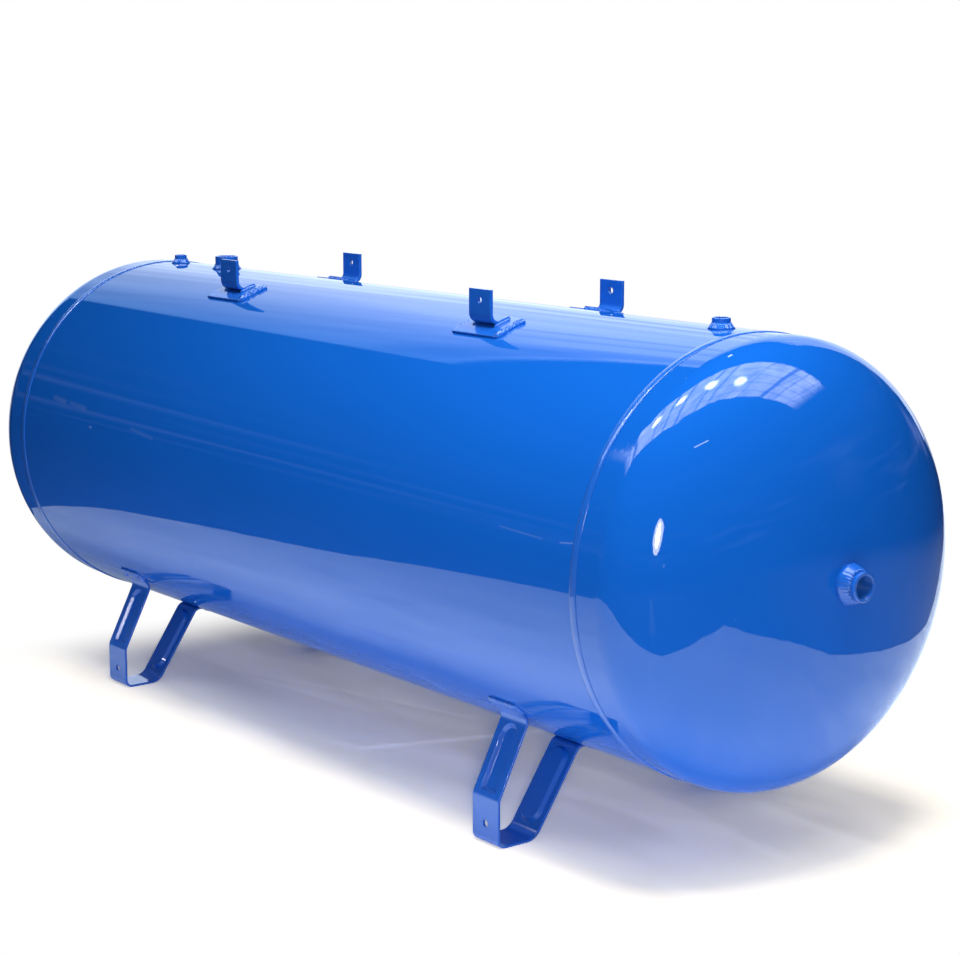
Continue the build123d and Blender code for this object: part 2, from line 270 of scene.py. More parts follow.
# Roof glazing: a long strip overhead, crossed by trusses and braces and divided by glazing
# bars. A truss has its place along the strip, its half width and the light that passes it
roofSettings = {
    "line": (0.609, 0.793, 0),
    "acrossLine": (0.793, -0.609, 0),
    "bend": (-0.27, -1.15, 0, 0.39),
    "middle": 0.04,
    "sides": (0.305, 0.275),
    "endShift": 0.01,
    "ends": (1.56, 1.24),
    "skew": 0.2,
    "trusses": [(-1.85, 0.03, 0.5), (-1.32, 0.02, 0.5), (-1.13, 0.035, 0.2), (-0.62, 0.014, 0.5),
                (-0.42, 0.012, 0.3), (-0.23, 0.014, 0.4), (0.04, 0.010, 0.4), (0.18, 0.012, 0.5),
                (0.55, 0.010, 0.7), (0.87, 0.020, 0.25), (1.06, 0.012, 0.6), (1.30, 0.014, 0.8)],
    "braceSlant": 0.55,
    "braceSpacing": 0.24,
    "braces": (0.004, 0.022, 0.7, 1.0),
    "barSpacing": 0.06,
    "bars": (0.002, 0.014, 0.7, 1.0),
    "grimeScale": 5.0,
    "grime": (0.3, 0.7, 0.62, 1.15),
    "overhead": (0.02, 0.1),
    "color": "#e6edff",
    "strength": 7.4,
}
height = addNode(hall, "Math", {"operation": "MAXIMUM", 1: hallSettings["lowest"]},
                 {0: parts["Z"]}).outputs[0]
alongDot = addNode(hall, "VectorMath", {"operation": "DOT_PRODUCT",
                                        1: roofSettings["line"]}, {0: look}).outputs["Value"]
acrossDot = addNode(hall, "VectorMath", {"operation": "DOT_PRODUCT",
                                         1: roofSettings["acrossLine"]},
                    {0: look}).outputs["Value"]
along = addNode(hall, "Math", {"operation": "DIVIDE"}, {0: alongDot, 1: height}).outputs[0]
across = addNode(hall, "Math", {"operation": "DIVIDE"}, {0: acrossDot, 1: height}).outputs[0]
bend = addNode(hall, "MapRange", {}, {0: along}, roofSettings["bend"]).outputs[0]
bent = addNode(hall, "Math", {"operation": "ADD"}, {0: across, 1: bend}).outputs[0]
bentSide = addNode(hall, "Math", {"operation": "SUBTRACT", 1: roofSettings["middle"]},
                   {0: bent}).outputs[0]
bentSide = addNode(hall, "Math", {"operation": "ABSOLUTE"}, {0: bentSide}).outputs[0]
glassSides = addNode(hall, "MapRange", smooth, {0: bentSide}, roofSettings["sides"]).outputs[0]
toEnd = addNode(hall, "Math", {"operation": "ADD", 1: roofSettings["endShift"]},
                {0: along}).outputs[0]
toEnd = addNode(hall, "Math", {"operation": "ABSOLUTE"}, {0: toEnd}).outputs[0]
glassEnds = addNode(hall, "MapRange", smooth, {0: toEnd}, roofSettings["ends"]).outputs[0]
skewed = addNode(hall, "Math", {"operation": "MULTIPLY_ADD", 1: roofSettings["skew"]},
                 {0: bent, 2: along}).outputs[0]
trusses = glassSides
for trussAt, halfWidth, passed in roofSettings["trusses"]:
    truss = addNode(hall, "Math", {"operation": "SUBTRACT", 1: trussAt}, {0: skewed}).outputs[0]
    truss = addNode(hall, "Math", {"operation": "ABSOLUTE"}, {0: truss}).outputs[0]
    truss = addNode(hall, "MapRange", {}, {0: truss},
                    (halfWidth, halfWidth * 2, passed, 1)).outputs[0]
    trusses = addNode(hall, "Math", {"operation": "MULTIPLY"}, {0: trusses, 1: truss}).outputs[0]
slant = addNode(hall, "Math", {"operation": "MULTIPLY_ADD", 1: roofSettings["braceSlant"]},
                {0: bent, 2: along}).outputs[0]
braceWave = addNode(hall, "Math", {"operation": "PINGPONG", 1: roofSettings["braceSpacing"]},
                    {0: slant}).outputs[0]
braces = addNode(hall, "MapRange", smooth, {0: braceWave}, roofSettings["braces"]).outputs[0]
barWave = addNode(hall, "Math", {"operation": "PINGPONG", 1: roofSettings["barSpacing"]},
                  {0: bent}).outputs[0]
bars = addNode(hall, "MapRange", smooth, {0: barWave}, roofSettings["bars"]).outputs[0]
roofPlace = addNode(hall, "CombineXYZ", {}, {0: along, 1: bent}).outputs[0]
grime = addNode(hall, "TexNoise", {"Scale": roofSettings["grimeScale"], "Detail": 3.0},
                {"Vector": roofPlace}).outputs[0]
grimy = addNode(hall, "MapRange", {}, {0: grime}, roofSettings["grime"]).outputs[0]
glassGlow = glassSides
for mask in (glassEnds, trusses, bars, braces, grimy):
    glassGlow = addNode(hall, "Math", {"operation": "MULTIPLY"},
                        {0: glassGlow, 1: mask}).outputs[0]
glassGlow = addNode(hall, "Math", {"operation": "MULTIPLY", 1: roofSettings["strength"]},
                    {0: glassGlow}).outputs[0]

# Roof lamps: four round bright spots in a slanting row under the glazing
roofLampSettings = {
    "slant": (-0.28, 0.02),
    "start": 0.035,
    "halfSpacing": 0.1725,
    "spot": (0.105, 0.0),
    "rowShift": 0.1575,
    "rowEnds": (0.64, 0.62),
    "strength": 42.0,
}
slantBy, slantFrom = roofLampSettings["slant"]
lampAcross = addNode(hall, "Math", {"operation": "MULTIPLY_ADD", 1: slantBy, 2: slantFrom},
                     {0: along}).outputs[0]
lampAcross = addNode(hall, "Math", {"operation": "ADD"}, {0: lampAcross, 1: across}).outputs[0]
lampWave = addNode(hall, "Math", {"operation": "SUBTRACT", 1: roofLampSettings["start"]},
                   {0: along}).outputs[0]
lampWave = addNode(hall, "Math", {"operation": "PINGPONG", 1: roofLampSettings["halfSpacing"]},
                   {0: lampWave}).outputs[0]
lampRound = addNode(hall, "CombineXYZ", {}, {0: lampWave, 1: lampAcross}).outputs[0]
lampRound = addNode(hall, "VectorMath", {"operation": "LENGTH"}, {0: lampRound}).outputs["Value"]
lampDots = addNode(hall, "MapRange", {"interpolation_type": "SMOOTHERSTEP"}, {0: lampRound},
                   roofLampSettings["spot"]).outputs[0]
lampRow = addNode(hall, "Math", {"operation": "ADD", 1: roofLampSettings["rowShift"]},
                  {0: along}).outputs[0]
lampRow = addNode(hall, "Math", {"operation": "ABSOLUTE"}, {0: lampRow}).outputs[0]
lampRow = addNode(hall, "MapRange", {}, {0: lampRow}, roofLampSettings["rowEnds"]).outputs[0]
lampGlow = addNode(hall, "Math", {"operation": "MULTIPLY"}, {0: lampDots, 1: lampRow}).outputs[0]
lampGlow = addNode(hall, "Math", {"operation": "MULTIPLY", 1: roofLampSettings["strength"]},
                   {0: lampGlow}).outputs[0]
overhead = addNode(hall, "MapRange", {}, {0: parts["Z"]}, roofSettings["overhead"]).outputs[0]
roofGlow = addNode(hall, "Math", {"operation": "ADD"}, {0: glassGlow, 1: lampGlow}).outputs[0]
roofGlow = addNode(hall, "Math", {"operation": "MULTIPLY"}, {0: roofGlow, 1: overhead}).outputs[0]

# The enamel mirrors all of them together; other surfaces get plain ambient light
mirrored = addNode(hall, "Background", {"Color": hexColor(hallSettings["dim"])}).outputs[0]
dropLight = addNode(hall, "Background", {}, {"Color": dropTint, "Strength": backdropGlow})
roofLight = addNode(hall, "Background", {"Color": hexColor(roofSettings["color"])},
                    {"Strength": roofGlow})
gleamLight = addNode(hall, "Background", {"Color": hexColor(gleamSettings["color"])},
                     {"Strength": gleamGlow})
for light in (dropLight, roofLight, gleamLight):
    mirrored = addNode(hall, "AddShader", {}, {0: mirrored, 1: light.outputs[0]}).outputs[0]
ambient = addNode(hall, "Background", {"Color": hexColor(hallSettings["ambient"])}).outputs[0]
white = addNode(hall, "Background", {"Color": (1, 1, 1, 1)}).outputs[0]
ray = addNode(hall, "LightPath", {}).outputs
worldLight = addNode(hall, "MixShader", {}, {0: ray["Is Glossy Ray"], 1: ambient, 2: mirrored})
worldLight = addNode(hall, "MixShader", {}, {0: ray["Is Camera Ray"],
                                             1: worldLight.outputs[0], 2: white})
addNode(hall, "OutputWorld", {}, {"Surface": worldLight.outputs[0]})
print("camera, lamps and hall done")


# Floor: a pale sheet with a wandering edge. A fold has its two ends, half width and tint of
# painted light or shade
sheetSettings = {
    "outline": [(-1.30, 0.30), (-1.22, -0.12), (-1.06, -0.35), (-0.99, -0.43), (-0.89, -0.48),
                (-0.79, -0.54), (-0.68, -0.58), (-0.59, -0.63), (-0.52, -0.69), (-0.49, -0.78),
                (-0.47, -0.88), (-0.42, -1.07), (-0.36, -1.20), (-0.10, -1.41), (0.30, -1.40),
                (0.60, -1.22), (0.79, -0.97), (0.93, -0.69), (1.04, -0.52), (1.09, -0.45),
                (1.23, -0.37), (1.41, -0.25), (1.60, -0.10), (1.57, -0.01), (1.47, 0.10),
                (1.34, 0.27), (1.16, 0.38), (1.02, 0.54), (0.87, 0.69), (0.57, 0.94),
                (0.30, 1.60), (-0.40, 2.40), (-3.50, 3.60), (-2.60, 0.90)],
    "edgeCuts": 7,
    "seed": 1,  # keeps the wavering edge the same on each run
    "waver": 0.010,
    "waverScale": 9,
    "frayScale": 31,
    "color": "#e9e8e8",
    "creaseScale": 5.0,
    "creaseTint": (0.3, 0.7, 0.93, 1.03),
    "creaseDepth": 0.004,
    "streakScale": (3.0, 15.0, 1.0),
    "streakTurn": (0, 0, -0.28),
    "streakTint": (0.35, 0.65, 0.90, 1.06),
    # painted highlight and shade along the folds: a tint above 1 is a pale line, below 1 a dark
    # one
    "folds": [((-0.46, -0.035, 0), (0.015, 0.103, 0), 0.007, 1.08),
              ((-0.45, -0.048, 0), (0.02, 0.090, 0), 0.012, 0.96),
              ((-0.36, -0.226, 0), (0.40, 0.02, 0), 0.009, 1.05),
              ((0.30, -0.06, 0), (0.62, 0.12, 0), 0.012, 0.95),
              ((0.03, -0.10, 0), (0.12, 0.16, 0), 0.014, 1.22)],
    "seenGain": (3.2, 2.76, 1.92),
    "mirroredGain": (1.85, 2.12, 2.28),
    "bounceGain": (1.65, 1.72, 1.8),
    "shadeMiddle": 0.03,
    "shadeEnds": (0.80, 0.56),
    "shadeFront": (-0.38, -0.06),
    "shadeBack": (0.50, 0.16),
    "glareColor": "#dfe8ff",
    "glare": (0.5, 2.0, 0, 0.9),
}
sheetMesh = bmesh.new()
corners = [sheetMesh.verts.new((x, y, 0)) for x, y in sheetSettings["outline"]]
sheetMesh.faces.new(corners)
bmesh.ops.subdivide_edges(sheetMesh, edges=sheetMesh.edges, cuts=sheetSettings["edgeCuts"],
                          smooth=0.5)
noise.seed_set(sheetSettings["seed"])
for vert in sheetMesh.verts:
    drift = noise.noise_vector(vert.co * sheetSettings["waverScale"])
    drift += noise.noise_vector(vert.co * sheetSettings["frayScale"]) * 0.5
    vert.co += Vector((drift.x, drift.y, 0)) * sheetSettings["waver"]
    vert.co.z = 0
bmesh.ops.triangulate(sheetMesh, faces=sheetMesh.faces)
bmesh.ops.recalc_face_normals(sheetMesh, faces=sheetMesh.faces)

# Paper sheet: matt and almost white, with soft creases and long lighter and darker streaks about
# 20 cm across; the creases are painted darker in their hollows and lighter on their rises, as
# painted shade and light
paper, tree = newMaterial("matt paper sheet")
place = addNode(tree, "TexCoord", {}).outputs["Object"]
creases = addNode(tree, "TexNoise", {"Scale": sheetSettings["creaseScale"], "Detail": 5.0},
                  {"Vector": place}).outputs[0]
drawn = addNode(tree, "Mapping", {"Rotation": sheetSettings["streakTurn"],
                                  "Scale": sheetSettings["streakScale"]},
                {"Vector": place}).outputs[0]
paperStreaks = addNode(tree, "TexNoise", {"Scale": 1.0, "Detail": 4.0, "Distortion": 0.8},
                 {"Vector": drawn}).outputs[0]
# painted shade and light: the tint follows the creases' bump, darker where it sinks and lighter
# where it rises
paperTint = addNode(tree, "MapRange", {}, {0: creases}, sheetSettings["creaseTint"]).outputs[0]
tints = [addNode(tree, "MapRange", {}, {0: paperStreaks}, sheetSettings["streakTint"]).outputs[0]]
# Folds: painted highlight and shade, pale and dark lines a few millimetres wide where the sheet
# was folded for carriage
for start, end, halfWidth, tint in sheetSettings["folds"]:
    apart = distanceToRun(tree, place, start, end)
    tints.append(addNode(tree, "MapRange", smooth, {0: apart}, (0, halfWidth, tint, 1)).outputs[0])
for tint in tints:
    paperTint = addNode(tree, "Math", {"operation": "MULTIPLY"},
                        {0: paperTint, 1: tint}).outputs[0]
paperColor = addNode(tree, "Mix", {"data_type": "RGBA", "blend_type": "MULTIPLY", 0: 1.0,
                                   6: hexColor(sheetSettings["color"])}, {7: paperTint})
paperBump = addNode(tree, "Bump", {"Strength": 0.25, "Distance": sheetSettings["creaseDepth"]},
                    {"Height": creases})
ray = addNode(tree, "LightPath", {}).outputs
lit = {}
for gain in ("seenGain", "mirroredGain", "bounceGain"):
    lit[gain] = addNode(tree, "VectorMath", {"operation": "MULTIPLY", 1: sheetSettings[gain]},
                        {0: paperColor.outputs[2]}).outputs[0]
paperLit = addNode(tree, "Mix", {"data_type": "RGBA"},
                   {0: ray["Is Camera Ray"], 6: lit["bounceGain"], 7: lit["seenGain"]}).outputs[2]
paperLit = addNode(tree, "Mix", {"data_type": "RGBA"},
                   {0: ray["Is Glossy Ray"], 6: paperLit, 7: lit["mirroredGain"]}).outputs[2]
paperMatt = addNode(tree, "BsdfDiffuse", {}, {"Color": paperLit,
                                              "Normal": paperBump.outputs[0]}).outputs[0]
# Seen by the camera it is pure white past the tank's own shade
spot = addNode(tree, "SeparateXYZ", {}, {0: place}).outputs
fromMiddle = addNode(tree, "Math", {"operation": "SUBTRACT", 1: sheetSettings["shadeMiddle"]},
                     {0: spot["X"]}).outputs[0]
fromMiddle = addNode(tree, "Math", {"operation": "ABSOLUTE"}, {0: fromMiddle}).outputs[0]
shaded = addNode(tree, "MapRange", smooth, {0: fromMiddle}, sheetSettings["shadeEnds"]).outputs[0]
for side in ("shadeFront", "shadeBack"):
    shade = addNode(tree, "MapRange", smooth, {0: spot["Y"]}, sheetSettings[side]).outputs[0]
    shaded = addNode(tree, "Math", {"operation": "MULTIPLY"}, {0: shaded, 1: shade}).outputs[0]
clear = addNode(tree, "Math", {"operation": "SUBTRACT", 0: 1.0}, {1: shaded}).outputs[0]
clear = addNode(tree, "Math", {"operation": "MULTIPLY"}, {0: clear, 1: ray["Is Camera Ray"]})
pure = addNode(tree, "Emission", {"Color": (1, 1, 1, 1)}).outputs[0]
seenPaper = addNode(tree, "MixShader", {}, {0: clear.outputs[0], 1: paperMatt, 2: pure}).outputs[0]
# Mirrored in the enamel it brightens again towards the backdrop
behind = addNode(tree, "MapRange", {}, {0: spot["Y"]}, sheetSettings["glare"]).outputs[0]
behind = addNode(tree, "Math", {"operation": "MULTIPLY"},
                 {0: behind, 1: ray["Is Glossy Ray"]}).outputs[0]
glare = addNode(tree, "Emission", {"Color": hexColor(sheetSettings["glareColor"])},
                {"Strength": behind}).outputs[0]
paperOut = addNode(tree, "AddShader", {}, {0: seenPaper, 1: glare}).outputs[0]
addNode(tree, "OutputMaterial", {}, {"Surface": paperOut})
newObject("paper_sheet", sheetMesh, paper)

# Hall floor: dim in the enamel's reflections, white to the viewer. Mirrored, it is pale before
# the backdrop, has one lighter patch beyond the near end and a thin gleam towards the viewer, all
# painted light that glows only in reflections
groundSettings = {
    "halfSize": 30,
    "belowSheet": 0.004,
    "color": "#596074",
    "stainColor": "#414757",
    "stainScale": 1.4,
    "closest": 0.05,
    "rightEnd": (0.80, 0.70),
    "leftEnd": (-0.75, -0.62),
    "beforeBackdrop": (1.5, 2.6, 0, 0.9),
    "patchBack": (2.9, 1.5, 0, 0.27),
    "patchFront": (0.2, 1.0),
    "patchLeft": (-0.6, 0.4),
    "patchRight": (4.0, 1.8),
    "gleamEnds": ((1.22, -0.66, 0), (1.98, -1.36, 0)),
    "gleam": (0.055, 0, 0, 0.42),
    "glareColor": "#dfe8ff",
}
groundMesh = bmesh.new()
bmesh.ops.create_grid(groundMesh, x_segments=4, y_segments=4, size=groundSettings["halfSize"])
bmesh.ops.translate(groundMesh, verts=groundMesh.verts, vec=(0, 0, -groundSettings["belowSheet"]))
concrete, tree = newMaterial("painted concrete floor")
ray = addNode(tree, "LightPath", {}).outputs
place = addNode(tree, "TexCoord", {}).outputs["Object"]
stain = addNode(tree, "TexNoise", {"Scale": groundSettings["stainScale"], "Detail": 6.0},
                {"Vector": place}).outputs[0]
stained = addNode(tree, "Mix", {"data_type": "RGBA", 6: hexColor(groundSettings["color"]),
                                7: hexColor(groundSettings["stainColor"])},
                  {0: stain}).outputs[2]
floorMatt = addNode(tree, "BsdfDiffuse", {}, {"Color": stained}).outputs[0]
facing = addNode(tree, "VectorMath", {"operation": "DOT_PRODUCT",
                                      1: backdropSettings["facing"]}, {0: place}).outputs["Value"]
beside = addNode(tree, "VectorMath", {"operation": "DOT_PRODUCT",
                                      1: backdropSettings["sideways"]},
                 {0: place}).outputs["Value"]
facingOut = addNode(tree, "Math", {"operation": "MAXIMUM", 1: groundSettings["closest"]},
                    {0: facing}).outputs[0]
turned = addNode(tree, "Math", {"operation": "DIVIDE"}, {0: beside, 1: facingOut}).outputs[0]
behind = addNode(tree, "MapRange", {}, {0: facing}, groundSettings["beforeBackdrop"]).outputs[0]
for edge in ("rightEnd", "leftEnd"):
    mask = addNode(tree, "MapRange", {}, {0: turned}, groundSettings[edge]).outputs[0]
    behind = addNode(tree, "Math", {"operation": "MULTIPLY"}, {0: behind, 1: mask}).outputs[0]
spot = addNode(tree, "SeparateXYZ", {}, {0: place}).outputs
# painted light: the patch, the gleam and the pale stretch before the backdrop glow on the floor,
# seen only in reflections
patch = addNode(tree, "MapRange", smooth, {0: spot["Y"]}, groundSettings["patchBack"]).outputs[0]
for edge, axis in (("patchFront", "Y"), ("patchLeft", "X"), ("patchRight", "X")):
    mask = addNode(tree, "MapRange", {}, {0: spot[axis]}, groundSettings[edge]).outputs[0]
    patch = addNode(tree, "Math", {"operation": "MULTIPLY"}, {0: patch, 1: mask}).outputs[0]
apart = distanceToRun(tree, place, *groundSettings["gleamEnds"])
gleam = addNode(tree, "MapRange", smooth, {0: apart}, groundSettings["gleam"]).outputs[0]
for light in (patch, gleam):
    behind = addNode(tree, "Math", {"operation": "ADD"}, {0: behind, 1: light}).outputs[0]
behind = addNode(tree, "Math", {"operation": "MULTIPLY"},
                 {0: behind, 1: ray["Is Glossy Ray"]}).outputs[0]
glare = addNode(tree, "Emission", {"Color": hexColor(groundSettings["glareColor"])},
                {"Strength": behind}).outputs[0]
floorMatt = addNode(tree, "AddShader", {}, {0: floorMatt, 1: glare}).outputs[0]
pure = addNode(tree, "Emission", {"Color": (1, 1, 1, 1)}).outputs[0]
floorOut = addNode(tree, "MixShader", {}, {0: ray["Is Camera Ray"], 1: floorMatt, 2: pure})
addNode(tree, "OutputMaterial", {}, {"Surface": floorOut.outputs[0]})
newObject("hall_floor", groundMesh, concrete)
print("floor done")


# Enamel: sprayed gloss coat, so a deep blue under a clear mirror with slight orange peel
coatSettings = {
    "cloudScale": 2.6,
    "nibColor": "#5f8fdc",
    "nibScale": 34.0,
    "nibs": (0.020, 0.012),
    "nibDepth": 0.0003,
    "glintColor": "#b9d0f6",
    "peelScale": 190.0,
}


def enamel(name, spec):
    material, tree = newMaterial(name)
    place = addNode(tree, "TexCoord", {}).outputs["Object"]
    cloud = addNode(tree, "TexNoise", {"Scale": coatSettings["cloudScale"], "Detail": 4.0},
                    {"Vector": place}).outputs[0]
    marked = addNode(tree, "Mix", {"data_type": "RGBA", 6: hexColor(spec["color"]),
                                   7: hexColor(spec["deep"])}, {0: cloud}).outputs[2]
    # Dust nibs: grains about 1 mm across, some 30 mm apart, caught in the last coat
    cells = addNode(tree, "TexVoronoi", {"Scale": coatSettings["nibScale"], "Randomness": 1.0},
                    {"Vector": place}).outputs["Distance"]
    nib = addNode(tree, "MapRange", {}, {0: cells}, coatSettings["nibs"]).outputs[0]
    marked = addNode(tree, "Mix", {"data_type": "RGBA", 7: hexColor(coatSettings["nibColor"])},
                     {0: nib, 6: marked}).outputs[2]
    # Painted highlights: pale hairlines and short glints on the gloss, standing in for reflected
    # light, each with its ends, half width and strength
    for start, end, halfWidth, strength in spec["paintedGlints"]:
        apart = distanceToRun(tree, place, start, end)
        glint = addNode(tree, "MapRange", smooth, {0: apart},
                          (halfWidth, halfWidth / 6, 0, strength)).outputs[0]
        marked = addNode(tree, "Mix", {"data_type": "RGBA",
                                       7: hexColor(coatSettings["glintColor"])},
                         {0: glint, 6: marked}).outputs[2]
    # Surface: rolled plate's long waves, then orange peel 5 mm across, then the nibs
    wave = addNode(tree, "Mapping", {"Scale": spec["waveScale"]}, {"Vector": place}).outputs[0]
    rolled = addNode(tree, "TexNoise", {"Scale": 1.0, "Detail": 1.5}, {"Vector": wave}).outputs[0]
    peel = addNode(tree, "TexNoise", {"Scale": coatSettings["peelScale"], "Detail": 1.0},
                   {"Vector": place}).outputs[0]
    shape = addNode(tree, "Bump", {"Strength": 1.0, "Distance": spec["waveDepth"]},
                    {"Height": rolled})
    if spec["edge"]:  # sheared edges, rounded by the paint
        soft = addNode(tree, "Bevel", {"samples": 6, "Radius": spec["edge"]})
        tree.links.new(soft.outputs[0], shape.inputs["Normal"])
    shape = addNode(tree, "Bump", {"Strength": 1.0, "Distance": spec["peelDepth"]},
                    {"Height": peel, "Normal": shape.outputs[0]})
    shape = addNode(tree, "Bump", {"Strength": 0.6, "Distance": coatSettings["nibDepth"]},
                    {"Height": nib, "Normal": shape.outputs[0]}).outputs[0]
    paint = addNode(tree, "BsdfPrincipled", {"Roughness": 0.5,
                                             "Specular IOR Level": spec["under"],
                                             "Coat Weight": 1.0,
                                             "Coat Roughness": spec["gloss"]},
                    {"Base Color": marked, "Normal": shape, "Coat Normal": shape})
    addNode(tree, "OutputMaterial", {}, {"Surface": paint.outputs[0]})
    return material


# "under" is the gloss of the colour below the clear coat, "edge" the paint's rounding of edges
enamelSettings = {
    "plate": {"color": "#1264c9", "deep": "#1060c2", "waveScale": (1.1, 5.5, 5.5),
              "waveDepth": 0.0004, "peelDepth": 0.000012, "edge": 0, "gloss": 0.022, "under": 0.0,
              # painted highlights: pale streaks and glints on the gloss of the shell and the near
              # head
              "paintedGlints": [
                  ((0.7121, -0.1643, 0.4916), (0.7169, -0.1506, 0.4977), 0.0009, 0.7),
                  ((0.6739, -0.0825, 0.5740), (0.6739, -0.0780, 0.5750), 0.0016, 1.0),
                  ((0.5995, -0.2457, 0.3856), (0.6194, -0.2452, 0.3881), 0.0012, 0.22),
                  ((0.4992, -0.2454, 0.3873), (0.5700, -0.2457, 0.3850), 0.0014, 0.08),
                  ((-0.5400, -0.2398, 0.4110), (-0.5050, -0.2405, 0.4082), 0.0055, 0.09),
                  ((-0.4900, -0.2405, 0.4085), (-0.4450, -0.2411, 0.4058), 0.0050, 0.07),
                  ((-0.4240, -0.2462, 0.3827), (-0.4190, -0.2462, 0.3825), 0.0026, 0.22),
                  ((-0.3100, -0.2440, 0.3938), (-0.2500, -0.2452, 0.3880), 0.0040, 0.05)]},
    "strip": {"color": "#1264c9", "deep": "#105dbd", "waveScale": (18.0, 18.0, 18.0),
              "waveDepth": 0.0004, "peelDepth": 0.00002, "edge": 0.0020, "gloss": 0.06,
              "under": 0.35, "paintedGlints": []},
    "weld": {"color": "#1463c6", "deep": "#105bba", "waveScale": (60.0, 60.0, 60.0),
             "waveDepth": 0.0006, "peelDepth": 0.00004, "edge": 0, "gloss": 0.05, "under": 0.4,
             "paintedGlints": []},
}
plateEnamel = enamel("gloss enamel on rolled plate", enamelSettings["plate"])
stripEnamel = enamel("gloss enamel on bent strip", enamelSettings["strip"])
weldEnamel = enamel("gloss enamel on weld bead", enamelSettings["weld"])

# Bare thread: cut mild steel, dark grey-brown with oil, and rust patches 2 mm across
steelSettings = {"color": "#40342d", "rustColor": "#1f140e", "rustScale": 420.0,
                 "metallic": 0.3, "roughness": 0.5}
threadSteel, tree = newMaterial("oiled bare steel thread")
place = addNode(tree, "TexCoord", {}).outputs["Object"]
rust = addNode(tree, "TexNoise", {"Scale": steelSettings["rustScale"], "Detail": 4.0},
               {"Vector": place}).outputs[0]
steelTone = addNode(tree, "Mix", {"data_type": "RGBA", 6: hexColor(steelSettings["color"]),
                                  7: hexColor(steelSettings["rustColor"])}, {0: rust}).outputs[2]
steel = addNode(tree, "BsdfPrincipled", {"Metallic": steelSettings["metallic"],
                                         "Roughness": steelSettings["roughness"]},
                {"Base Color": steelTone})
addNode(tree, "OutputMaterial", {}, {"Surface": steel.outputs[0]})

for name, node in nodes.items():
    if name.endswith("_weld"):
        dress(node, weldEnamel)
    elif "leg" in name or "lug" in name or "socket" in name:
        dress(node, stripEnamel)
    else:
        dress(node, plateEnamel)
print("materials done")


# Places on the vessel, read from the solids; the heads' straight flange is 35 mm long
low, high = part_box("shell")
tank = {"radius": (high.z - low.z) / 2, "axis": (high.z + low.z) / 2, "seam": high.x,
        "pole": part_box("near_head")[1].x, "flange": 0.035}


def outwards(turn):
    # turn is in degrees from straight up, positive towards the front
    return Vector((0, -sin(radians(turn)), cos(radians(turn))))


def onShell(x, turn, lift=0.0):
    r = tank["radius"] + lift
    return Vector((x, -r * sin(radians(turn)), tank["axis"] + r * cos(radians(turn))))


def turnAt(offset, lift):
    return degrees(asin(offset / (tank["radius"] + lift)))


def turnOf(length):
    return degrees(length / tank["radius"])


# Weld beads: a rippled bead laid along a path that gives its point, its up and its side
beadSettings = {
    "girth": {"width": 0.0054, "height": 0.0013, "pitch": 0.0080, "ripple": 0.03, "lump": 0.04},
    "seam": {"width": 0.0040, "height": 0.0013, "pitch": 0.0060, "ripple": 0.10, "lump": 0.08},
    "socket": {"width": 0.0050, "height": 0.0070, "pitch": 0.0034, "ripple": 0.10, "lump": 0.14},
    "headSocket": {"width": 0.0064, "height": 0.0165, "pitch": 0.0034, "ripple": 0.10,
                   "lump": 0.14},
    "pad": {"width": 0.0056, "height": 0.0056, "pitch": 0.0060, "ripple": 0.24, "lump": 0.40},
    "padThin": {"width": 0.0032, "height": 0.0030, "pitch": 0.0060, "ripple": 0.2, "lump": 0.5},
    "strap": {"width": 0.0030, "height": 0.0028, "pitch": 0.0046, "ripple": 0.18, "lump": 0.36},
    "leg": {"width": 0.0050, "height": 0.0044, "pitch": 0.0052, "ripple": 0.20, "lump": 0.40},
}
beadTexture = {
    "stepsPerRipple": 6,
    "stepsRound": 12,
    "lumpScale": 130,
    "fineScale": 420,
    "trail": 0.4,  # how far a ripple's sides lag behind its crest
    "below": 0.3,  # how deep the bead goes into the plate
}


def layBead(bm, path, length, closed, size, inward=1.0, cone=False):
    run = bmesh.new()
    ripples = max(1, round(length / size["pitch"]))
    bmesh.ops.create_grid(run, x_segments=ripples * beadTexture["stepsPerRipple"],
                          y_segments=beadTexture["stepsRound"], size=0.5)
    for vert in run.verts:
        s, q = vert.co.x + 0.5, vert.co.y + 0.5
        point, up, side = path(s)
        swell = 1 + size["lump"] * noise.noise(point * beadTexture["lumpScale"])
        swell += size["lump"] * 0.5 * noise.noise(point * beadTexture["fineScale"])
        if not closed:  # an end tapers to a rounded crater
            swell *= min(1, sqrt(max(0.0, min(s, 1 - s) * length / size["width"])))
        reach, rise = cos(2 * pi * q), sin(2 * pi * q)
        if cone:  # a fillet's straight flank
            reach, rise = reach * abs(reach), rise * abs(rise)
        crest = s * ripples - beadTexture["trail"] * reach * reach
        rippled = 1 - size["ripple"] * (0.5 + 0.5 * cos(2 * pi * crest)) ** 2
        reach *= size["width"] * swell * (inward if reach < 0 else 1.0)
        rise *= size["height"] * swell * (rippled if rise > 0 else beadTexture["below"])
        vert.co = point + side * reach + up * rise
    bmesh.ops.remove_doubles(run, verts=run.verts, dist=0.000002)
    bmesh.ops.recalc_face_normals(run, faces=run.faces)
    mesh = bpy.data.meshes.new("run")
    run.to_mesh(mesh)
    run.free()
    bm.from_mesh(mesh)
    bpy.data.meshes.remove(mesh)


